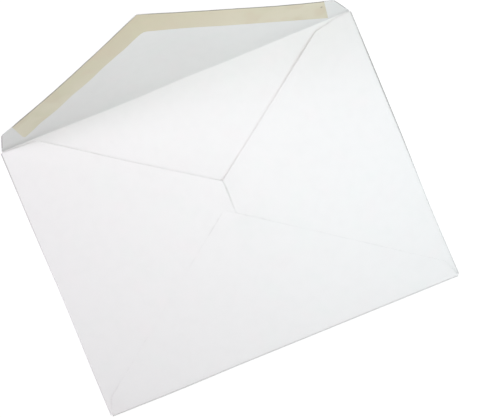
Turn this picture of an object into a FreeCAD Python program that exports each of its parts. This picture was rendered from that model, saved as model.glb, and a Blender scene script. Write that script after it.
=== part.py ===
import FreeCAD, Part
import math
import os

# A paper envelope with a deep pointed seal flap, lying on its address face with the flap raised.
# Millimetres. The origin is the centre of the address face, +Z is up and +Y points to the seal
# flap, whose crease runs along X. "In" is a distance from a side edge, "down" one from the crease
# and "up" one from the fold or crease that a flap hangs on.

# Closed envelope
width = 146.05
height = 111.125

# Sheet, and the spaces between its layers
paper = 0.12
pocket_gap = 0.7
seam_film = 0.05
corner_clearance = 0.15

# Seal flap
seal_tilt = 58.4
crease_inner_radius = 0.7
seal_depth = 62.0
seal_shoulder_in = 4.0
seal_shoulder_up = 12.6
seal_shoulder_radius = 3.0
seal_point_radius = 1.5
seal_slope_hollow = 0.7

# Side flaps: both throat edges meet at one point, a little right of the middle
side_shoulder_in = 15.3
left_shoulder_down = 1.3
right_shoulder_down = 2.5
left_shoulder_radius = 4.0
right_shoulder_radius = 1.5
throat_down = 42.35
throat_right_of_middle = 2.3
side_overlap = 4.5
side_tip_radius = 0.4

# Bottom flap: its point lies a little left of the middle
bottom_depth = 58.25
bottom_point_left_of_middle = 1.5
bottom_shoulder_in = 3.1
bottom_shoulder_up = 7.3
bottom_shoulder_radius = 2.5
bottom_point_radius = 1.5

# Seal gum: a dried strip along the two sloping edges of the seal flap
gum_film = 0.04
gum_margin = 0.4
gum_band_left = 10.8
gum_band_right = 12.0
gum_end_left = 9.4
gum_end_right = 8.7
gum_end_radius = 1.2
gum_point_radius = 1.1
gum_inner_radius = 3.0

# Seam gum: what holds the bottom flap to the side flaps
seam_margin = 2.0
seam_band = 6.0

# Undersides of the three flaps that lie over the front panel, from the lowest to the highest
right_level = paper + pocket_gap
left_level = right_level + paper + seam_film
bottom_level = left_level + paper + seam_film

# Crease of the seal flap: its outer faces meet at the height of the envelope
crease_radius = crease_inner_radius + paper
crease_setback = crease_radius * math.tan(math.radians(seal_tilt / 2))


def vector(x, y, z):
    return FreeCAD.Vector(x, y, z)


def fold_radius(level):
    """Outer radius of the half-round fold that carries a flap lying at this level."""
    return (level + paper) / 2


left_radius = fold_radius(left_level)
right_radius = fold_radius(right_level)
bottom_radius = fold_radius(bottom_level)

# Folds stop short of the envelope's corners, clear of the fold that runs the other way
side_fold_top = crease_setback + corner_clearance
side_fold_bottom = bottom_radius + corner_clearance
left_corner = left_radius + corner_clearance
right_corner = right_radius + corner_clearance


def corner_turn(before, corner, after, radius):
    """Start, middle and end of the arc that rounds a corner, no longer than its sides allow."""
    back = before - corner
    ahead = after - corner
    half = back.getAngle(ahead) / 2
    longest_reach = min(back.Length, ahead.Length) * 0.45
    reach = min(radius / math.tan(half), longest_reach)
    rounded = reach * math.tan(half)
    back.normalize()
    ahead.normalize()
    inward = back + ahead
    inward.normalize()
    middle = corner + inward * (rounded / math.sin(half) - rounded)
    return corner + back * reach, middle, corner + ahead * reach


def side(start, end, hollow):
    """One side of an outline that runs clockwise. It is straight, or hollow by this much halfway."""
    if not hollow:
        return Part.LineSegment(start, end).toShape()
    along = end - start
    along.normalize()
    inward = vector(along.y, -along.x, 0)
    return Part.Arc(start, (start + end) / 2 + inward * hollow, end).toShape()


def outline(corners, hollows):
    """A face in the XY plane with these corners, each given as x, y and rounding radius.

    Hollows holds how hollow some sides are, each by the index of the corner that it leads to.
    """
    points = [vector(x, y, 0) for x, y, radius in corners]
    turns = []
    for place, (x, y, radius) in enumerate(corners):
        corner = points[place]
        if radius > 0:
            after = points[(place + 1) % len(points)]
            turns.append(corner_turn(points[place - 1], corner, after, radius))
        else:
            turns.append((corner, corner, corner))
    edges = []
    for place, (start, middle, end) in enumerate(turns):
        edges.append(side(turns[place - 1][2], start, hollows.get(place, 0)))
        if start != end:
            edges.append(Part.Arc(start, middle, end).toShape())
    return Part.Face(Part.Wire(edges))


def plate(corners, level, thickness, hollows=None):
    """A flat piece with this outline, its underside at this level."""
    piece = outline(corners, hollows or {}).extrude(vector(0, 0, thickness))
    piece.translate(vector(0, 0, level))
    return piece


def bend(start, end, centre, degrees):
    """The sheet turned about an axis above it, from a cut edge that runs from start to end."""
    up = vector(0, 0, paper)
    section = Part.Face(Part.makePolygon([start, end, end + up, start + up, start]))
    return section.revolve(centre, end - start, degrees)


def meet(first, second):
    """Where two lines cross, each given as a point and a direction."""
    (p, along), (q, other) = first, second
    turn = along.x * other.y - along.y * other.x
    reach = ((q.x - p.x) * other.y - (q.y - p.y) * other.x) / turn
    return p + along * reach


def inset(start, end, distance):
    """The line from start to end, moved by a distance to its right."""
    along = end - start
    along.normalize()
    return start + vector(along.y, -along.x, 0) * distance, along


def upright(x):
    return vector(x, 0, 0), vector(0, 1, 0)


def front_panel():
    low_x = left_radius - width / 2
    high_x = width / 2 - right_radius
    low_y = bottom_radius - height / 2
    high_y = height / 2 - crease_setback
    return plate([(low_x, low_y, 0), (high_x, low_y, 0), (high_x, high_y, 0), (low_x, high_y, 0)], 0, paper)


def side_flap_corners(side, radius, shoulder_down, shoulder_radius, tip_in, tip_down):
    """Outline of a side flap. Side is -1 on the left and 1 on the right."""
    top = height / 2
    half = width / 2
    shoulder_x = side * (half - side_shoulder_in)
    tip_x = side * (half - tip_in)
    fold_x = side * (half - radius)
    return [
        (fold_x, top - side_fold_top, 0),
        (shoulder_x, top - shoulder_down, shoulder_radius),
        (tip_x, top - tip_down, side_tip_radius),
        (tip_x, tip_down - top, side_tip_radius),
        (shoulder_x, shoulder_down - top, shoulder_radius),
        (fold_x, side_fold_bottom - top, 0),
    ]


def left_flap_corners():
    """The left flap ends at the point where the two throat edges meet."""
    tip_in = width / 2 + throat_right_of_middle
    return side_flap_corners(-1, left_radius, left_shoulder_down, left_shoulder_radius, tip_in, throat_down)


def right_flap_corners():
    """The right flap's throat edge runs on past that point, under the left flap."""
    throat_in = width / 2 - throat_right_of_middle
    slope = (throat_down - right_shoulder_down) / (throat_in - side_shoulder_in)
    tip_in = throat_in + side_overlap
    tip_down = throat_down + side_overlap * slope
    return side_flap_corners(1, right_radius, right_shoulder_down, right_shoulder_radius, tip_in, tip_down)


def side_fold(side, radius):
    x = side * (width / 2 - radius)
    start = vector(x, side_fold_bottom - height / 2, 0)
    end = vector(x, height / 2 - side_fold_top, 0)
    return bend(start, end, vector(x, 0, radius), -180 * side)


def bottom_flap_corners():
    fold_y = bottom_radius - height / 2
    shoulder_x = width / 2 - bottom_shoulder_in
    shoulder_y = bottom_shoulder_up - height / 2
    return [
        (left_corner - width / 2, fold_y, 0),
        (-shoulder_x, shoulder_y, bottom_shoulder_radius),
        (-bottom_point_left_of_middle, bottom_depth - height / 2, bottom_point_radius),
        (shoulder_x, shoulder_y, bottom_shoulder_radius),
        (width / 2 - right_corner, fold_y, 0),
    ]


def bottom_fold():
    y = bottom_radius - height / 2
    start = vector(left_corner - width / 2, y, 0)
    end = vector(width / 2 - right_corner, y, 0)
    return bend(start, end, vector(0, y, bottom_radius), -180)


def seal_crease():
    y = height / 2 - crease_setback
    start = vector(left_corner - width / 2, y, 0)
    end = vector(width / 2 - right_corner, y, 0)
    return bend(start, end, vector(0, y, crease_radius), seal_tilt)


def raise_flap(piece):
    """Puts a piece drawn flat, with y measured from the crease, in its place on the raised flap."""
    crease_y = height / 2 - crease_setback
    piece.translate(vector(0, crease_y - crease_setback, 0))
    piece.rotate(vector(0, crease_y, crease_radius), vector(1, 0, 0), seal_tilt)
    return piece


def seal_flap():
    shoulder_x = width / 2 - seal_shoulder_in
    corners = [
        (left_corner - width / 2, crease_setback, 0),
        (-shoulder_x, seal_shoulder_up, seal_shoulder_radius),
        (0, seal_depth, seal_point_radius),
        (shoulder_x, seal_shoulder_up, seal_shoulder_radius),
        (width / 2 - right_corner, crease_setback, 0),
    ]
    slopes = {2: seal_slope_hollow, 3: seal_slope_hollow}
    return raise_flap(plate(corners, 0, paper, slopes))


def folded_sheet():
    """The whole envelope is one sheet, folded in from both sides and then up from the bottom."""
    pieces = [
        side_fold(-1, left_radius),
        side_fold(1, right_radius),
        plate(left_flap_corners(), left_level, paper),
        plate(right_flap_corners(), right_level, paper),
        bottom_fold(),
        plate(bottom_flap_corners(), bottom_level, paper),
        seal_crease(),
        seal_flap(),
    ]
    return front_panel().multiFuse(pieces).removeSplitter()


def seal_gum():
    """A dried film on the inner face of the seal flap, cut off square before each shoulder."""
    left_shoulder = vector(seal_shoulder_in - width / 2, seal_shoulder_up, 0)
    right_shoulder = vector(width / 2 - seal_shoulder_in, seal_shoulder_up, 0)
    point = vector(0, seal_depth, 0)
    outer_left = inset(left_shoulder, point, gum_margin)
    outer_right = inset(point, right_shoulder, gum_margin)
    inner_left = inset(left_shoulder, point, gum_margin + gum_band_left)
    inner_right = inset(point, right_shoulder, gum_margin + gum_band_right)
    left_end = upright(gum_end_left - width / 2)
    right_end = upright(width / 2 - gum_end_right)
    crossings = [
        (meet(left_end, outer_left), 0),
        (meet(outer_left, outer_right), gum_point_radius),
        (meet(outer_right, right_end), 0),
        (meet(right_end, inner_right), 0),
        (meet(inner_right, inner_left), gum_inner_radius),
        (meet(inner_left, left_end), gum_end_radius),
    ]
    corners = [(place.x, place.y, radius) for place, radius in crossings]
    slopes = {1: seal_slope_hollow, 2: seal_slope_hollow}
    return raise_flap(plate(corners, paper, gum_film, slopes))


def seam_gum(side, flap_corners, under, inner_x):
    """A dried line under one sloping edge of the bottom flap, down to the side flap below it."""
    shoulder = vector(side * (width / 2 - bottom_shoulder_in), bottom_shoulder_up - height / 2, 0)
    point = vector(-bottom_point_left_of_middle, bottom_depth - height / 2, 0)
    upper = inset(shoulder, point, -side * seam_margin)
    lower = inset(shoulder, point, -side * (seam_margin + seam_band))
    outer_end = upright(side * (width / 2 - side_shoulder_in))
    inner_end = upright(inner_x)
    places = [meet(outer_end, upper), meet(upper, inner_end), meet(inner_end, lower), meet(lower, outer_end)]
    depth = bottom_level - under
    line = plate([(place.x, place.y, 0) for place in places], under, depth)
    return line.common(plate(flap_corners, under, depth))


left_tip_x = throat_right_of_middle
right_tip_x = throat_right_of_middle - side_overlap

nodes = {
    "folded_sheet": folded_sheet(),
    "seal_gum": seal_gum(),
    "left_seam_gum": seam_gum(-1, left_flap_corners(), left_level + paper, right_tip_x - seam_margin),
    "right_seam_gum": seam_gum(1, right_flap_corners(), right_level + paper, left_tip_x + seam_margin),
}

os.makedirs("parts", exist_ok=True)
for name, shape in nodes.items():
    shape.exportStep(f"parts/{name}.step")
    box = shape.BoundBox
    print(name, len(shape.Solids), "solid, valid", shape.isValid(), "volume", round(shape.Volume, 2),
          "x", round(box.XMin, 2), round(box.XMax, 2), "y", round(box.YMin, 2), round(box.YMax, 2),
          "z", round(box.ZMin, 2), round(box.ZMax, 2))
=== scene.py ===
import math

import bmesh
import bpy
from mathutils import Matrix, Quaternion, Vector


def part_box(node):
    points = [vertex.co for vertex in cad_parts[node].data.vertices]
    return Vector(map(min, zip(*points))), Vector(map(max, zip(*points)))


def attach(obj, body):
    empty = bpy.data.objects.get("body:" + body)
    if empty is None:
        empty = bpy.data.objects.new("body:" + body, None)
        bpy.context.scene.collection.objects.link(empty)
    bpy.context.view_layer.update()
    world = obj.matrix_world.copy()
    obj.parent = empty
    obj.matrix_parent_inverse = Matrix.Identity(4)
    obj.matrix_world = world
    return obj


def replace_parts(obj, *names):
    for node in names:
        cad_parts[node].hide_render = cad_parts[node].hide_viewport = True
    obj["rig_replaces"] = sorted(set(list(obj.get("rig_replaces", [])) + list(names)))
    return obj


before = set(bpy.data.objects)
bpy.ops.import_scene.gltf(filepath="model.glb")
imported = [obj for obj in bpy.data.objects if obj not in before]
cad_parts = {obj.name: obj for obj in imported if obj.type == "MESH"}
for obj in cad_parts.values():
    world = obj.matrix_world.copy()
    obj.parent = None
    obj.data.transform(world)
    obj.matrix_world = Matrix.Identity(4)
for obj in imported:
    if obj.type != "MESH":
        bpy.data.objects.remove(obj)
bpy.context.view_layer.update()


# Paper sheet
# The whole envelope is one die-cut blank of white wove paper. The side flaps are folded in, the
# bottom flap is folded up over them and glued down, and the deep seal flap stands open on its crease.
sheet_low, sheet_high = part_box("folded_sheet")
half_width = sheet_high[0]
half_height = -sheet_low[1]
paper = 0.00012
pocket_gap = 0.0007
seam_film = 0.00005
corner_clearance = 0.00015
right_level = paper + pocket_gap
left_level = right_level + paper + seam_film
bottom_level = left_level + paper + seam_film

seal_tilt = math.radians(58.4)
crease_radius = 0.0007 + paper
crease_setback = crease_radius * math.tan(seal_tilt / 2)
seal_depth = 0.062
seal_shoulder_in = 0.004
seal_shoulder_up = 0.0126
seal_shoulder_radius = 0.003
seal_point_radius = 0.0015

side_shoulder_in = 0.0153
left_shoulder_down = 0.0013
right_shoulder_down = 0.0025
left_shoulder_radius = 0.004
right_shoulder_radius = 0.0015
throat_down = 0.04235
throat_x = 0.0023
side_overlap = 0.0045
side_tip_radius = 0.0004

bottom_depth = 0.05825
bottom_point_x = -0.0015
bottom_shoulder_in = 0.0031
bottom_shoulder_up = 0.0073
bottom_shoulder_radius = 0.0025
bottom_point_radius = 0.0015

fold_steps = 10
crease_steps = 6
corner_segments = 6
grid_step = 0.002
smooth_angle = math.radians(40)
across = Vector((1, 0, 0))
along = Vector((0, 1, 0))
up = Vector((0, 0, 1))

# Distances far below the thickness of the paper, which tell points apart
nothing = 1e-7
same_place = 1e-6
at_corner = 1e-5


def fold_radius(level):
    """Outer radius of the half-round fold that carries a flap lying at this level."""
    return (level + paper) / 2


left_radius = fold_radius(left_level)
right_radius = fold_radius(right_level)
bottom_radius = fold_radius(bottom_level)
side_fold_top = half_height - crease_setback - corner_clearance
side_fold_bottom = bottom_radius + corner_clearance - half_height
left_corner_x = left_radius + corner_clearance - half_width
right_corner_x = half_width - right_radius - corner_clearance


def choose(piece, part, test):
    """In edit mode, selects the verts, edges or faces that pass a test of middle and facing."""
    bpy.ops.mesh.select_mode(type={"verts": "VERT", "edges": "EDGE", "faces": "FACE"}[part])
    bpy.ops.mesh.select_all(action="DESELECT")
    mesh = bmesh.from_edit_mesh(piece.data)
    for item in getattr(mesh, part):
        points = [item.co] if part == "verts" else [vert.co for vert in item.verts]
        middle = sum(points, Vector()) / len(points)
        if not item.hide and test(middle, getattr(item, "normal", None)):
            item.select_set(True)
    mesh.select_flush_mode()
    bmesh.update_edit_mesh(piece.data)


def close(a, b):
    """Whether two lengths are the same, but for rounding."""
    return abs(a - b) < same_place


def trim(piece, on_flap, corners, normal):
    """Cuts a flap to an outline of straight sides, given anticlockwise about the flap's normal."""
    for start, end in zip(corners, corners[1:]):
        choose(piece, "faces", on_flap)
        outward = (end - start).cross(normal)
        bpy.ops.mesh.bisect(plane_co=start, plane_no=outward, clear_outer=True, threshold=nothing)


def round_off(piece, before, corner, after, radius):
    """Rounds one corner of a flap's outline."""
    choose(piece, "verts", lambda at, facing: (at - corner).length < at_corner)
    turn = math.pi - (before - corner).angle(after - corner)
    bpy.ops.mesh.bevel(offset=radius * math.tan(turn / 2), segments=corner_segments, affect="VERTICES")


def fold_over(piece, on_edge, centre, axis, angle, steps, reach):
    """Turns the chosen edge about an axis into a fold, and draws a flap on from its end."""
    choose(piece, "edges", on_edge)
    # The operator turns the other way round its axis
    bpy.ops.mesh.spin(steps=steps, angle=-angle, center=centre, axis=axis)
    bpy.ops.mesh.extrude_region_move(TRANSFORM_OT_translate={"value": reach})


def remember(piece, name, test):
    """Puts a flap's faces in a vertex group, so that they are found again once they are bent."""
    choose(piece, "faces", test)
    bpy.ops.object.vertex_group_assign_new()
    piece.vertex_groups.active.name = name


def side_flap(side, level, radius, shoulder_down, shoulder_radius, tip_x, tip_down):
    """A side flap: -1 is the left one, which lies over the tip of the right one."""
    fold_x = side * (half_width - radius)
    height = level + paper / 2

    def on_fold(at, facing):
        """Whether an edge is the side of the front panel that this flap hangs on."""
        between_corners = side_fold_bottom < at.y < side_fold_top
        return between_corners and close(at.x, fold_x) and close(at.z, paper / 2)

    centre = Vector((fold_x, 0, radius))
    reach = across * (tip_x - fold_x)
    fold_over(sheet, on_fold, centre, along, -side * math.pi, fold_steps, reach)
    shoulder_x = side * (half_width - side_shoulder_in)
    shoulder_y = half_height - shoulder_down
    tip_y = half_height - tip_down
    corners = [
        Vector((fold_x, side_fold_top, height)),
        Vector((shoulder_x, shoulder_y, height)),
        Vector((tip_x, tip_y, height)),
        Vector((tip_x, -tip_y, height)),
        Vector((shoulder_x, -shoulder_y, height)),
        Vector((fold_x, side_fold_bottom, height)),
    ]
    trim(sheet, lambda at, facing: close(at.z, height), corners, up * side)
    radii = [shoulder_radius, side_tip_radius, side_tip_radius, shoulder_radius]
    for place, rounding in enumerate(radii):
        round_off(sheet, *corners[place:place + 3], rounding)


bpy.ops.object.select_all(action="DESELECT")
bpy.ops.mesh.primitive_plane_add(size=1)
sheet = bpy.context.object
sheet.name = "paper_sheet"
bpy.ops.object.mode_set(mode="EDIT")
panel_low = Vector((left_radius - half_width, bottom_radius - half_height, paper / 2))
panel_high = Vector((half_width - right_radius, half_height - crease_setback, paper / 2))
bpy.ops.transform.resize(value=panel_high - panel_low + Vector((0, 0, 1)))
bpy.ops.transform.translate(value=(panel_low + panel_high) / 2)
for y in (side_fold_bottom, side_fold_top):
    bpy.ops.mesh.select_all(action="SELECT")
    bpy.ops.mesh.bisect(plane_co=along * y, plane_no=along, threshold=nothing)
for x in (left_corner_x, right_corner_x):
    bpy.ops.mesh.select_all(action="SELECT")
    bpy.ops.mesh.bisect(plane_co=across * x, plane_no=across, threshold=nothing)

side_flap(
    -1, left_level, left_radius, left_shoulder_down, left_shoulder_radius, throat_x, throat_down,
)
throat_slope = (throat_down - right_shoulder_down) / (half_width - side_shoulder_in - throat_x)
hidden_tip_x = throat_x - side_overlap
hidden_tip_down = throat_down + side_overlap * throat_slope
side_flap(
    1, right_level, right_radius, right_shoulder_down, right_shoulder_radius,
    hidden_tip_x, hidden_tip_down,
)

bottom_y = bottom_radius - half_height
bottom_height = bottom_level + paper / 2
bottom_shoulder_x = half_width - bottom_shoulder_in
bottom_shoulder_y = bottom_shoulder_up - half_height


def on_bottom_fold(at, facing):
    """Whether an edge is the bottom of the front panel, which the bottom flap hangs on."""
    between_corners = left_corner_x < at.x < right_corner_x
    return between_corners and close(at.y, bottom_y) and close(at.z, paper / 2)


fold_over(
    sheet, on_bottom_fold, Vector((0, bottom_y, bottom_radius)), across, -math.pi, fold_steps,
    along * (bottom_depth - half_height - bottom_y),
)
bottom_corners = [
    Vector((right_corner_x, bottom_y, bottom_height)),
    Vector((bottom_shoulder_x, bottom_shoulder_y, bottom_height)),
    Vector((bottom_point_x, bottom_depth - half_height, bottom_height)),
    Vector((-bottom_shoulder_x, bottom_shoulder_y, bottom_height)),
    Vector((left_corner_x, bottom_y, bottom_height)),
]
trim(sheet, lambda at, facing: close(at.z, bottom_height), bottom_corners, up)
bottom_radii = [bottom_shoulder_radius, bottom_point_radius, bottom_shoulder_radius]
for place, radius in enumerate(bottom_radii):
    round_off(sheet, *bottom_corners[place:place + 3], radius)

crease_y = half_height - crease_setback
flap_up = Vector((0, math.cos(seal_tilt), math.sin(seal_tilt)))
flap_inward = across.cross(flap_up)
flap_foot = Vector((0, crease_y, crease_radius)) - flap_inward * (crease_radius - paper / 2)
fold_over(
    sheet,
    lambda at, facing: close(at.y, crease_y) and left_corner_x < at.x < right_corner_x,
    Vector((0, crease_y, crease_radius)), across, seal_tilt, crease_steps,
    flap_up * (seal_depth - crease_setback),
)


def on_seal_flap(x, rise):
    """A point on the middle of the seal flap's paper, by its place across and up from the crease."""
    return flap_foot + across * x + flap_up * (rise - crease_setback)


def is_seal_flap(at, facing):
    """Whether a point lies on the flat part of the seal flap, above the bend of its crease."""
    return (at - flap_foot).dot(flap_up) > nothing


seal_shoulder_x = half_width - seal_shoulder_in
seal_corners = [
    on_seal_flap(right_corner_x, crease_setback),
    on_seal_flap(seal_shoulder_x, seal_shoulder_up),
    on_seal_flap(0, seal_depth),
    on_seal_flap(-seal_shoulder_x, seal_shoulder_up),
    on_seal_flap(left_corner_x, crease_setback),
]
trim(sheet, is_seal_flap, seal_corners, flap_inward)
seal_radii = [seal_shoulder_radius, seal_point_radius, seal_shoulder_radius]
for place, radius in enumerate(seal_radii):
    round_off(sheet, *seal_corners[place:place + 3], radius)

for axis, reach in ((across, half_width), (along, half_height)):
    count = round(2 * reach / grid_step)
    for turn in range(1, count):
        bpy.ops.mesh.select_all(action="SELECT")
        cut = axis * (2 * turn / count - 1) * reach
        bpy.ops.mesh.bisect(plane_co=cut, plane_no=axis, threshold=nothing)
for turn in range(1, round(seal_depth / grid_step)):
    bpy.ops.mesh.select_all(action="SELECT")
    cut = flap_foot + flap_up * turn * grid_step
    bpy.ops.mesh.bisect(plane_co=cut, plane_no=flap_up, threshold=nothing)
bpy.ops.mesh.select_all(action="SELECT")
bpy.ops.mesh.normals_make_consistent(inside=False)

left_height = left_level + paper / 2
right_height = right_level + paper / 2
remember(sheet, "seal_flap", is_seal_flap)
remember(sheet, "bottom_flap", lambda at, facing: close(at.z, bottom_height))
remember(sheet, "left_flap", lambda at, facing: close(at.z, left_height))
remember(sheet, "right_flap", lambda at, facing: close(at.z, right_height))
remember(sheet, "front_panel", lambda at, facing: close(at.z, paper / 2))


def show_only(piece, group):
    """Hides all but one flap, so that what follows bends or cuts only that one."""
    bpy.ops.mesh.select_mode(type="FACE")
    bpy.ops.mesh.select_all(action="DESELECT")
    piece.vertex_groups.active = piece.vertex_groups[group]
    bpy.ops.object.vertex_group_select()
    bpy.ops.mesh.hide(unselected=True)


def pull(piece, place, by, reach, falloff="SMOOTH", connected=True):
    """Moves the shown point nearest to a place, and the paper round it less and less with distance."""
    mesh = bmesh.from_edit_mesh(piece.data)
    shown = [vert.co.copy() for vert in mesh.verts if not vert.hide]
    nearest = min(shown, key=lambda at: (at - place).length)
    choose(piece, "verts", lambda at, facing: (at - nearest).length < nothing)
    bpy.ops.transform.translate(
        value=by, use_proportional_edit=True, proportional_size=reach,
        proportional_edit_falloff=falloff, use_proportional_connected=connected,
    )


# The sloping edges of the seal flap are cut slightly hollow, the right one most near its shoulder:
# edge, share of its length, depth of the hollow and reach
seal_slopes = seal_corners[1:3], seal_corners[2:4]
hollows = [
    (seal_slopes[0], 0.50, 0.0010, 0.044),
    (seal_slopes[0], 0.22, 0.0004, 0.022),
    (seal_slopes[1], 0.50, 0.0010, 0.044),
]
choose(sheet, "faces", lambda at, facing: (at - flap_foot).dot(flap_up) < grid_step)
bpy.ops.mesh.hide(unselected=False)
for (start, end), share, hollow, reach in hollows:
    inward = flap_inward.cross(end - start).normalized()
    pull(sheet, start.lerp(end, share), inward * hollow, reach, falloff="INVERSE_SQUARE")
bpy.ops.mesh.reveal(select=False)

# The folds along the sides and the bottom don't run quite straight: a place on each, sway and reach
sways = [
    ((-half_width, -0.005), across * 0.0003, 0.036),
    ((half_width, -0.028), across * -0.0004, 0.034),
    ((-0.045, -half_height), along * -0.0002, 0.028),
]
for (x, y), sway, reach in sways:
    pull(sheet, Vector((x, y, bottom_radius)), sway, reach)

# The crease runs a little further out at its left end, and the seal flap is a little dished
crease_sway = along * 0.0006
crease_sway_x = -0.066
crease_sway_reach = 0.045
seal_dish = along * 0.0016
seal_dish_reach = 0.027
pull(sheet, Vector((crease_sway_x, crease_y, 0)), crease_sway, crease_sway_reach, connected=False)
pull(sheet, on_seal_flap(0.002, 0.020), seal_dish, seal_dish_reach)

# The glued back stands a little proud of the front, most of all in the middle
back_rise = 0.0004
back_reach = 0.050
choose(sheet, "faces", lambda at, facing: at.z < right_height - nothing or at.y > crease_y)
bpy.ops.mesh.hide(unselected=False)
pull(sheet, Vector((0, -0.004, bottom_height)), up * back_rise, back_reach, connected=False)
bpy.ops.mesh.reveal(select=False)

# Free edges have sprung up in some places and lie down in others: flap, place, movement and reach
springs = [
    ("front_panel", (0.018, 0.022), up * 0.0002, 0.036),
    ("front_panel", (-0.020, 0.030), up * 0.0003, 0.030),
    ("right_flap", (0.049, 0.0470), up * 0.0006, 0.014),
    ("right_flap", (0.067, 0.0545), along * 0.0005 - up * 0.0004, 0.008),
    ("right_flap", (0.062, 0.0540), up * -0.0003, 0.006),
    ("right_flap", (0.016, 0.0232), up * -0.00015, 0.016),
    ("right_flap", (0.0045, 0.0150), up * 0.0003, 0.008),
    ("right_flap", (0.035, -0.0300), up * 0.00015, 0.034),
    ("left_flap", (-0.044, 0.0455), up * 0.0002, 0.020),
    ("left_flap", (-0.022, 0.0302), up * 0.0002, 0.024),
    ("left_flap", (throat_x, 0.0120), up * 0.0003, 0.008),
    ("bottom_flap", (0.0035, -0.0010), up * 0.0003, 0.009),
    ("bottom_flap", (-0.007, -0.0020), up * 0.0002, 0.006),
    ("bottom_flap", (0.018, -0.0110), up * -0.00012, 0.010),
    ("bottom_flap", (0.029, -0.0185), up * 0.0002, 0.004),
    ("bottom_flap", (0.049, -0.0325), up * 0.0002, 0.006),
    ("bottom_flap", (0.066, -0.0455), up * -0.00015, 0.014),
    ("bottom_flap", (-0.069, -0.0475), up * 0.0003, 0.008),
]
for flap, (x, y), movement, reach in springs:
    show_only(sheet, flap)
    pull(sheet, Vector((x, y, 0)), movement, reach)
    bpy.ops.mesh.reveal(select=False)
bpy.ops.object.mode_set(mode="OBJECT")


class Signal:
    """A socket of a finish's shader. Arithmetic on it adds Math nodes, so a pattern reads as a sum."""

    def __init__(self, socket):
        self.socket = socket

    def add(self, kind, settings, sockets, output=0):
        """Adds a node of a kind, with its settings and the values or signals of its sockets."""
        tree = self.socket.id_data
        node = tree.nodes.new(kind)
        for name, value in settings.items():
            setattr(node, name, value)
        for name, value in sockets.items():
            if isinstance(value, Signal):
                tree.links.new(value.socket, node.inputs[name])
            else:
                node.inputs[name].default_value = value
        return Signal(node.outputs[output])

    def math(self, operation, *values):
        """Adds a Math node that works on values or signals."""
        return self.add("ShaderNodeMath", {"operation": operation}, dict(enumerate(values)))

    def __add__(self, other):
        return self.math("ADD", self, other)

    def __sub__(self, other):
        return self.math("SUBTRACT", self, other)

    def __rsub__(self, other):
        return self.math("SUBTRACT", other, self)

    def __mul__(self, other):
        return self.math("MULTIPLY", self, other)

    def at_least(self, low):
        """This, or a lowest value where it is less."""
        return self.math("MAXIMUM", self, low)

    def __abs__(self):
        return self.math("ABSOLUTE", self)

    __radd__ = __add__
    __rmul__ = __mul__

    def stretch(self, by):
        """This place, with each axis scaled."""
        return self.add("ShaderNodeMapping", {}, {"Vector": self, "Scale": by})

    def along(self, direction):
        """How far this place lies in a direction."""
        return self.add("ShaderNodeVectorMath", {"operation": "DOT_PRODUCT"}, {0: self, 1: direction}, 1)

    def gap(self, spot):
        """How far this place is from a spot."""
        return self.add("ShaderNodeVectorMath", {"operation": "DISTANCE"}, {0: self, 1: spot}, 1)

    def cloud(self, size, detail):
        """Soft noise about this size in metres, from 0 to 1."""
        return self.add("ShaderNodeTexNoise", {}, {"Vector": self, "Scale": 1 / size, "Detail": detail})

    def between(self, low, high):
        """How far this lies from low to high, from 0 to 1, with soft ends."""
        sockets = {"Value": self, "From Min": low, "From Max": high}
        return self.add("ShaderNodeMapRange", {"interpolation_type": "SMOOTHSTEP"}, sockets)

    def blend(self, plain, marked):
        """A colour between two, by this much."""
        return self.add("ShaderNodeMix", {"data_type": "RGBA"}, {0: self, 6: plain, 7: marked}, 2)

    def raise_surface(self, height):
        """The normal of a surface that this pattern raises by up to a height in metres."""
        return self.add("ShaderNodeBump", {}, {"Height": self, "Distance": height})

    def feed(self, shader, name):
        """Links this to a socket of a shader."""
        self.socket.id_data.links.new(self.socket, shader.inputs[name])


def new_finish(name):
    """A material, its shader and the place on the object that its patterns read."""
    finish = bpy.data.materials.new(name)
    finish.use_nodes = True
    shader = finish.node_tree.nodes["Principled BSDF"]
    place = finish.node_tree.nodes.new("ShaderNodeTexCoord").outputs["Object"]
    return finish, shader, Signal(place)


paper_white = (0.905, 0.90, 0.89, 1)
paper_shade = (0.80, 0.80, 0.79, 1)
paper_pink = (0.915, 0.89, 0.885, 1)
paper_green = (0.89, 0.905, 0.885, 1)
# Grey of the painted shade: the seam shadows, the shaded folded sides and the shaded ends of the seal
# flap
painted_shade_grey = (0.40, 0.39, 0.375, 1)
tint_size = 0.016
tint_patch = 0.009
tint_strength = 0.5
formation_size = 0.004
formation_strength = 0.12
paper_finish, paper_shader, place = new_finish("white_wove_paper")
tint = place.cloud(tint_size, 1.0).between(0.35, 0.65).blend(paper_pink, paper_green)
tinted = place.cloud(tint_patch, 1.0).between(0.45, 0.65) * tint_strength
paper_colour = tinted.blend(paper_white, tint)
formation = place.cloud(formation_size, 3.0).between(0.35, 0.8) * formation_strength
paper_colour = formation.blend(paper_colour, paper_shade)

# Faint smudges inside the throat: place and size
smudge_strength = 0.12
height = place.along(up)
smudges = [((-0.0315, 0.0434), 0.0012), ((0.0222, 0.0497), 0.0015), ((0.0111, 0.0443), 0.0012)]
plan = place.stretch((1, 1, 0))
for spot, size in smudges:
    near_mark = 1 - plan.gap(Vector(spot).to_3d()).between(0, size)
    smudge = near_mark * height.between(0, paper) * smudge_strength
    paper_colour = smudge.blend(paper_colour, paper_shade)
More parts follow.
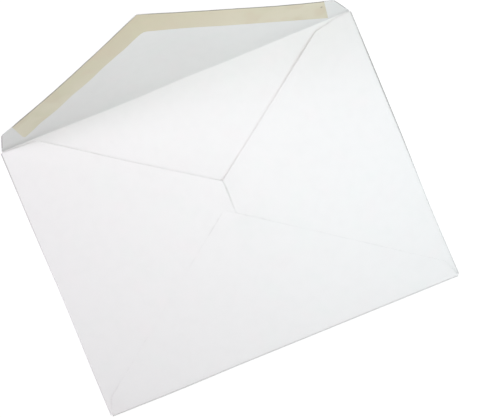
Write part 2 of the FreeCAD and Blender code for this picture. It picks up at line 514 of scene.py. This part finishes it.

# Painted shadow along the seams, where the edge of the bottom flap stands off: start and end of
# each line, and strength
seam_shadows = [
    ((-0.0027, 0.0018), (-0.0111, -0.0044), 0.14),
    ((-0.0100, -0.0036), (-0.0230, -0.0132), 0.05),
    ((0.0105, -0.0059), (0.0135, -0.0080), 0.08),
    ((0.0275, -0.0178), (0.0315, -0.0207), 0.14),
    ((0.0448, -0.0302), (0.0530, -0.0360), 0.10),
]
seam_shadow_width = 0.0004
seam_shadow_break = 0.002
for start, end, strength in seam_shadows:
    start, end = Vector(start).to_3d(), Vector(end).to_3d()
    reach = (end - start).length / 2
    side = (end - start).cross(up).normalized()
    off_line = abs(place.along(side) - side.dot(start)).between(0, seam_shadow_width)
    off_end = plan.gap((start + end) / 2).between(reach * 0.8, reach)
    broken = place.cloud(seam_shadow_break, 1.0).between(0.35, 0.6)
    on_top = height.between(left_level, bottom_level)
    line = (1 - off_line) * (1 - off_end) * broken * on_top
    paper_colour = (line * strength).blend(paper_colour, painted_shade_grey)

# Painted shade darkens the folded sides, the left one most at the crease and the right one below it
fold_shade_width = 0.0007
fold_shade_everywhere = 0.25
upper_shade_left = 0.35
upper_shade_right = 0.80
crease_shade_left = 0.4
crease_shade_right = -0.4
beside = place.along(across)
right_side = beside.between(-0.01, 0.01)
upper_half = place.along(along).between(-0.03, 0.03)
at_crease = place.along(along).between(0.035, 0.052)
upper_shade = right_side * (upper_shade_right - upper_shade_left) + upper_shade_left
crease_shade = right_side * (crease_shade_right - crease_shade_left) + crease_shade_left
fold_shade = upper_half * upper_shade + at_crease * crease_shade + fold_shade_everywhere
shaded_edge = abs(beside).between(half_width - fold_shade_width, half_width)
paper_colour = (shaded_edge * fold_shade).blend(paper_colour, painted_shade_grey)

# A painted shadow line greys the short ends of the seal flap along their edges
end_shade_width = 0.0005
end_shade_strength = 0.8
above_back = height.between(0.002, 0.003)
for start, end in (seal_corners[0:2], seal_corners[3:5]):
    inward = flap_inward.cross(end - start).normalized()
    depth = place.along(inward) - inward.dot(start)
    shaded_edge = (1 - depth.between(0, end_shade_width)) * above_back
    paper_colour = (shaded_edge * end_shade_strength).blend(paper_colour, painted_shade_grey)
paper_colour.feed(paper_shader, "Base Color")
paper_shader.inputs["Roughness"].default_value = 0.85
fibre_size = 0.0004
fibre_height = 0.00001
fibres = place.stretch((1, 0.5, 1)).cloud(fibre_size, 3.0)
fibres.raise_surface(fibre_height).feed(paper_shader, "Normal")

edge_pale = (0.59, 0.60, 0.60, 1)
edge_dark = (0.19, 0.20, 0.205, 1)
edge_patch = 0.006
edge_finish, edge_shader, place = new_finish("cut_paper_edge")
edge_colour = place.cloud(edge_patch, 3.0).between(0.3, 0.6).blend(edge_pale, edge_dark)
edge_colour.feed(edge_shader, "Base Color")
edge_shader.inputs["Roughness"].default_value = 0.95
sheet.data.materials.append(paper_finish)
sheet.data.materials.append(edge_finish)


def thicken(piece, thickness, offset):
    """Gives a bent face its thickness, with the next finish of the piece, if any, on the cut edges."""
    bpy.ops.object.modifier_add(type="SOLIDIFY")
    solid = piece.modifiers[-1]
    solid.thickness = thickness
    solid.offset = offset
    solid.use_even_offset = True
    solid.material_offset_rim = 1
    bpy.ops.object.modifier_apply(modifier=solid.name)
    bpy.ops.object.shade_smooth_by_angle(angle=smooth_angle)


thicken(sheet, paper, 0)
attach(sheet, "root")
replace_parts(sheet, "folded_sheet")


# Seal gum
# A strip of remoistening gum along both sloping edges of the seal flap, on its inner face. It is
# brushed on wet before folding and dries to a thin, slightly glossy film the colour of weak tea.
gum_film = 0.00004
gum_margin = 0.0004
gum_band_left = 0.0108
gum_band_right = 0.0120
gum_foot_left = 0.0115
gum_foot_right = 0.0092
gum_slant_left = -0.132
gum_slant_right = 0.104
gum_point_radius = 0.0011
gum_inner_radius = 0.003
gum_end_radius = 0.0025
same_side = 0.7


def copy_face(piece, name, group, outward):
    """A new piece made of one side of a flap, as it lies after bending. It is left in edit mode."""
    bpy.ops.object.select_all(action="DESELECT")
    piece.select_set(True)
    bpy.context.view_layer.objects.active = piece
    bpy.ops.object.duplicate()
    skin = bpy.context.object
    skin.name = name
    skin.data.materials.clear()
    # The copy stands for its own node, and not for the sheet's as well
    del skin["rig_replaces"]
    bpy.ops.object.mode_set(mode="EDIT")
    show_only(skin, group)
    choose(skin, "faces", lambda at, facing: facing.dot(outward) > same_side)
    bpy.ops.mesh.hide(unselected=True)
    bpy.ops.mesh.select_all(action="DESELECT")
    bpy.ops.mesh.reveal(select=True)
    bpy.ops.mesh.delete(type="FACE")
    return skin


def anywhere(at, facing):
    """A test that every part of a piece passes."""
    return True


def meet(first, second, normal):
    """Where two lines on a flap cross, each given as a point and a direction."""
    (start, run), (other_start, other_run) = first, second
    side = other_run.cross(normal)
    return start + run * ((other_start - start).dot(side) / run.dot(side))


def inset(start, end, distance, normal):
    """The line from start to end, moved to its left as seen against the normal."""
    run = (end - start).normalized()
    return start + normal.cross(run) * distance, run


def rounded(before, corner, after, radius, normal):
    """Points along the arc that rounds a corner of an outline given anticlockwise about the normal."""
    back = (before - corner).normalized()
    ahead = (after - corner).normalized()
    half = back.angle(ahead) / 2
    centre = corner + (back + ahead).normalized() * radius / math.sin(half)
    spoke = corner + back * radius / math.tan(half) - centre
    turn = (math.pi - 2 * half) / corner_segments
    return [centre + Quaternion(normal, turn * step) @ spoke for step in range(corner_segments + 1)]


seal_gum = copy_face(sheet, "seal_gum_strip", "seal_flap", flap_inward)
outer_right, outer_left = [inset(*slope, gum_margin, flap_inward) for slope in seal_slopes]
inner_right = inset(*seal_slopes[0], gum_margin + gum_band_right, flap_inward)
inner_left = inset(*seal_slopes[1], gum_margin + gum_band_left, flap_inward)
right_end = on_seal_flap(half_width - gum_foot_right, 0), flap_up + across * gum_slant_right
left_end = on_seal_flap(gum_foot_left - half_width, 0), flap_up + across * gum_slant_left
gum_corners = [
    meet(right_end, inner_right, flap_inward),
    meet(right_end, outer_right, flap_inward),
    meet(outer_right, outer_left, flap_inward),
    meet(outer_left, left_end, flap_inward),
    meet(left_end, inner_left, flap_inward),
]
gum_point = rounded(*gum_corners[1:4], gum_point_radius, flap_inward)
gum_tail = rounded(gum_corners[3], gum_corners[4], on_seal_flap(0, 0), gum_end_radius, flap_inward)
gum_outline = gum_corners[:2] + gum_point + gum_corners[3:4] + gum_tail
trim(seal_gum, anywhere, gum_outline, flap_inward)

inner_point = meet(inner_right, inner_left, flap_inward)
inner_outline = rounded(gum_corners[0], inner_point, gum_corners[4], gum_inner_radius, flap_inward)
inner_outline = [gum_corners[0]] + inner_outline + [gum_corners[4]]
inner_runs = zip(inner_outline, inner_outline[1:])
inner_sides = [(start, flap_inward.cross(end - start)) for start, end in inner_runs]
for start, inward in inner_sides:
    bpy.ops.mesh.select_all(action="SELECT")
    bpy.ops.mesh.bisect(plane_co=start, plane_no=inward, threshold=nothing)


def is_bare_paper(at, facing):
    """Whether a point lies on the bare paper that the two arms of the strip enclose."""
    return all((at - start).dot(inward) > 0 for start, inward in inner_sides)


choose(seal_gum, "faces", is_bare_paper)
bpy.ops.mesh.delete(type="FACE")

# The brush left the inner edge of the left arm a little wavy: share of its length and sway
waves = [
    (0.15, 0.0003),
    (0.32, -0.0002),
    (0.45, 0.0002),
    (0.60, -0.0003),
    (0.72, 0.0002),
    (0.86, -0.0004),
]
wave_reach = 0.006
left_inward = inner_sides[-1][1].normalized()
for share, sway in waves:
    pull(seal_gum, inner_point.lerp(gum_corners[4], share), left_inward * sway, wave_reach)
bpy.ops.object.mode_set(mode="OBJECT")
thicken(seal_gum, gum_film, 1)

gum_thin = (0.835, 0.785, 0.62, 1)
gum_thick = (0.70, 0.63, 0.46, 1)
gum_olive = (0.74, 0.71, 0.51, 1)
gum_rust = (0.76, 0.66, 0.50, 1)
gum_burnt = (0.32, 0.295, 0.23, 1)
olive_patch = 0.012
olive_strength = 0.5
rust_patch = 0.009
rust_strength = 0.4
rust_on_right = 0.25
burnt_edge = 0.0006
stroke_size = 0.0012
stroke_height = 0.00002
gum_finish, gum_shader, place = new_finish("dried_gum")
rise = place.along(flap_up) - flap_up.dot(flap_foot)
thickness = rise.between(0.010, 0.066)
gum_colour = thickness.blend(gum_thin, gum_thick)
olive = place.cloud(olive_patch, 2.0).between(0.4, 0.65) * olive_strength
gum_colour = olive.blend(gum_colour, gum_olive)
right_arm = place.along(across).between(0, 0.02)
rust = place.cloud(rust_patch, 1.0).between(0.5, 0.7) * rust_strength + right_arm * rust_on_right
gum_colour = rust.blend(gum_colour, gum_rust)
for slope in seal_slopes:
    start, end = slope
    run = (end - start).normalized()
    inward = flap_inward.cross(run)
    depth = place.along(inward) - inward.dot(start)
    for hollowed, share, hollow, reach in hollows:
        if hollowed is slope:
            beside = (place.along(run) - run.dot(start.lerp(end, share))) * (1 / reach)
            depth = depth - (1 - beside * beside).at_least(0) * hollow
    gum_colour = (1 - depth.between(0, burnt_edge)).blend(gum_colour, gum_burnt)

# A fleck of dirt dried into the right end
fleck_place = on_seal_flap(0.0635, 0.0112)
fleck_core = 0.0002
fleck_rim = 0.0007
fleck_strength = 0.6
fleck = 1 - place.gap(fleck_place).between(fleck_core, fleck_rim)
gum_colour = (fleck * fleck_strength).blend(gum_colour, gum_burnt)
gum_colour.feed(gum_shader, "Base Color")
gum_shader.inputs["Roughness"].default_value = 0.45
strokes = place.cloud(stroke_size, 3.0)
strokes.raise_surface(stroke_height).feed(gum_shader, "Normal")
seal_gum.data.materials.append(gum_finish)
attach(seal_gum, "root")
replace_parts(seal_gum, "seal_gum")


# Seam gum
# Two hidden lines of the same gum hold the bottom flap down to the side flaps. They are brushed
# on just inside its sloping edges, so they lie between the layers and bend with them.
seam_margin = 0.002
seam_band = 0.006


def seam_gum(name, node, slope, first_x, last_x, depth):
    """The line of gum under one sloping edge of the bottom flap, from one x to another."""
    line = copy_face(sheet, name, "bottom_flap", -up)
    upper = inset(*slope, seam_margin, up)
    lower = inset(*slope, seam_margin + seam_band, up)
    first = across * first_x, along
    last = across * last_x, along
    crossings = (lower, first), (upper, first), (upper, last), (lower, last)
    corners = [meet(*pair, up) for pair in crossings]
    trim(line, anywhere, corners + corners[:1], up)
    bpy.ops.object.mode_set(mode="OBJECT")
    thicken(line, depth, 1)
    line.data.materials.append(gum_finish)
    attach(line, "root")
    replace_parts(line, node)


right_slope, left_slope = bottom_corners[1:3], bottom_corners[2:4]
outer_x = half_width - side_shoulder_in
right_depth = bottom_level - right_level - paper
left_depth = bottom_level - left_level - paper
seam_gum("right_gum_line", "right_seam_gum", right_slope, outer_x, throat_x + seam_margin, right_depth)
seam_gum("left_gum_line", "left_seam_gum", left_slope, hidden_tip_x - seam_margin, -outer_x, left_depth)


# Floor and room
# A white table top that keeps the envelope's soft shadow, in a white room. Both are white to the
# eye, in reflections and through glass, and light the envelope less than that.
table_glow = 1.15
table_glow_share = 0.75
room_light = 0.352
floor_gap = 0.00001
bpy.ops.object.select_all(action="DESELECT")
bpy.ops.mesh.primitive_plane_add(size=6, location=(0, 0, -floor_gap))
floor = bpy.context.object
floor.name = "table_top"
floor_finish, floor_shader, place = new_finish("white_table_top")
floor_shader.inputs["Base Color"].default_value = (0.9, 0.9, 0.9, 1)
floor_shader.inputs["Roughness"].default_value = 0.9
floor.data.materials.append(floor_finish)


def seen_itself(tree):
    """1 for what is seen itself, in a reflection or through glass, and 0 for light on the object."""
    rays = tree.nodes.new("ShaderNodeLightPath").outputs
    seen = Signal(rays["Is Camera Ray"])
    for ray in ("Is Glossy Ray", "Is Transmission Ray"):
        seen = seen.at_least(Signal(rays[ray]))
    return seen


glow = place.add("ShaderNodeEmission", {}, {"Color": (1, 1, 1, 1), "Strength": table_glow})
glow_share = seen_itself(floor_finish.node_tree) * table_glow_share
shaders = {0: glow_share, 1: Signal(floor_shader.outputs[0]), 2: glow}
both = place.add("ShaderNodeMixShader", {}, shaders)
both.feed(floor_finish.node_tree.nodes["Material Output"], "Surface")

world = bpy.data.worlds.new("white_room")
bpy.context.scene.world = world
world.use_nodes = True
room = world.node_tree.nodes["Background"]
room.inputs["Color"].default_value = (1, 1, 1, 1)
(seen_itself(world.node_tree) * (1 - room_light) + room_light).feed(room, "Strength")


# Lamps
# Three soft square lamps over the table, each turned to the middle of the envelope: place, width,
# power and colour. The one behind is the strongest, so the seams and the seal flap throw shadows.
lamps = {
    "lamp_behind_left": ((-0.40, 0.30, 0.30), 0.20, 1.365, (0.945, 0.885, 1)),
    "lamp_above": ((0.05, 0.03, 0.25), 0.15, 0.2533, (1, 0.973, 0.949)),
    "lamp_front_right": ((0.12, -0.02, 0.15), 0.10, 0.0652, (0.72, 0.942, 1)),
}
for name, (spot, size, power, colour) in lamps.items():
    lamp_data = bpy.data.lights.new(name, "AREA")
    lamp_data.energy = power
    lamp_data.size = size
    lamp_data.color = colour
    lamp = bpy.data.objects.new(name, lamp_data)
    bpy.context.collection.objects.link(lamp)
    lamp.location = spot
    lamp.rotation_euler = Vector(spot).to_track_quat("Z", "Y").to_euler()
    lamp.visible_camera = False


# Camera
# A long lens high over the envelope, a little behind its crease and to its right, turned so that
# the crease rises to the right.
camera_data = bpy.data.cameras.new("camera")
camera_data.lens = 360
camera_data.clip_end = 10
camera = bpy.data.objects.new("camera", camera_data)
bpy.context.collection.objects.link(camera)
camera.location = (0.13362, 0.1795, 1.91936)
camera.rotation_euler = (math.radians(-6.386), math.radians(1.406), math.radians(-22.518))
bpy.context.scene.camera = camera
bpy.context.scene.view_settings.view_transform = "Standard"
